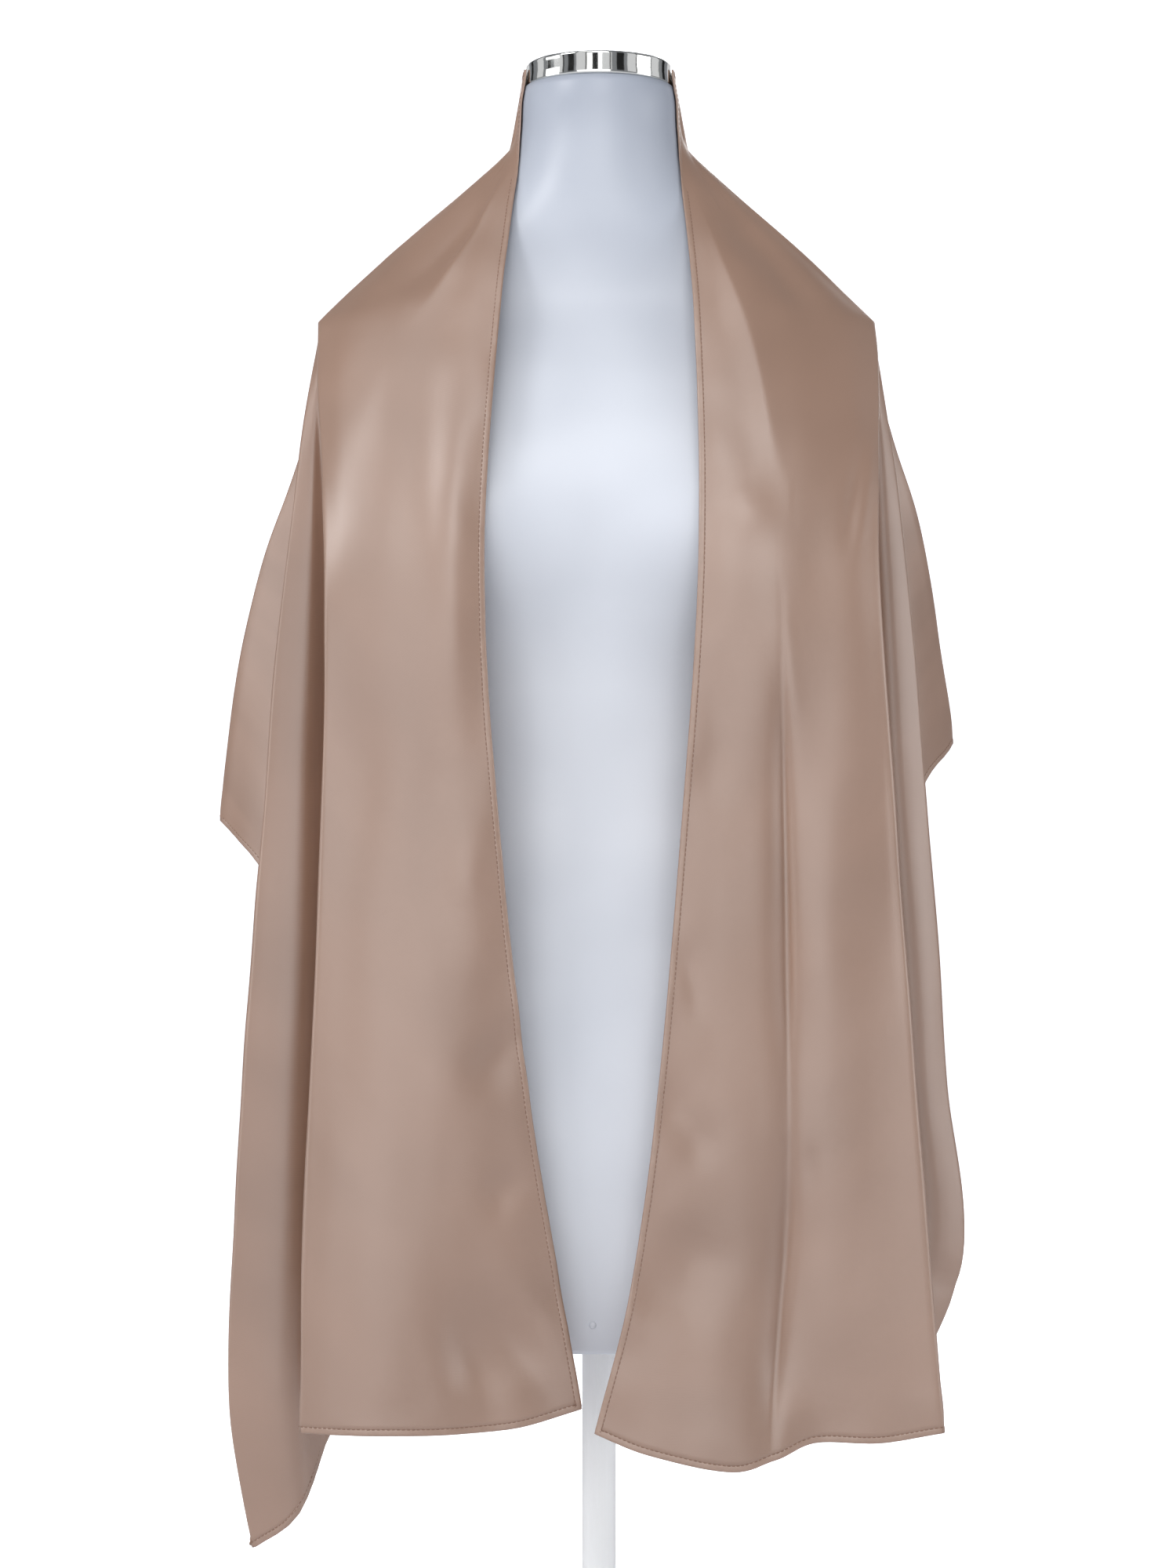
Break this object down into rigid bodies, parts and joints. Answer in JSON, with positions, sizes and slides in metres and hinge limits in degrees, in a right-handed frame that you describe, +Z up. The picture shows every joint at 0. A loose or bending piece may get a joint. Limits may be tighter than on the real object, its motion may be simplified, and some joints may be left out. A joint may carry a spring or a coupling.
{
  "type": "satin scarf on a limbless dress form",
  "caption": "Long satin scarf draped round the neck and shoulders of a smooth dress form on a pole and a round base, its two ends hanging open in front.",
  "frame": {"origin": "middle of the underside of the base plate, where the stand rests", "axes": "+Z up along the pole, the front of the scarf towards -Y, +X to the right of a viewer who faces the front"},
  "size_m": [0.507, 0.3262, 1.0283],
  "materials": {
    "satin": "dusty rose-taupe satin with a soft sheen and a fine rolled hem",
    "form_shell": "smooth glossy bluish-white shell",
    "neck_cap": "polished chrome cap on the neck",
    "stand_paint": "plain white painted steel"
  },
  "bodies": {
    "root": {"scarf_left": "satin", "scarf_back": "satin", "scarf_right": "satin", "form_torso": "form_shell", "neck_cap": "neck_cap", "form_socket": "stand_paint", "stand_pole": "stand_paint", "base_plate": "stand_paint"}
  },
  "joints": []
}
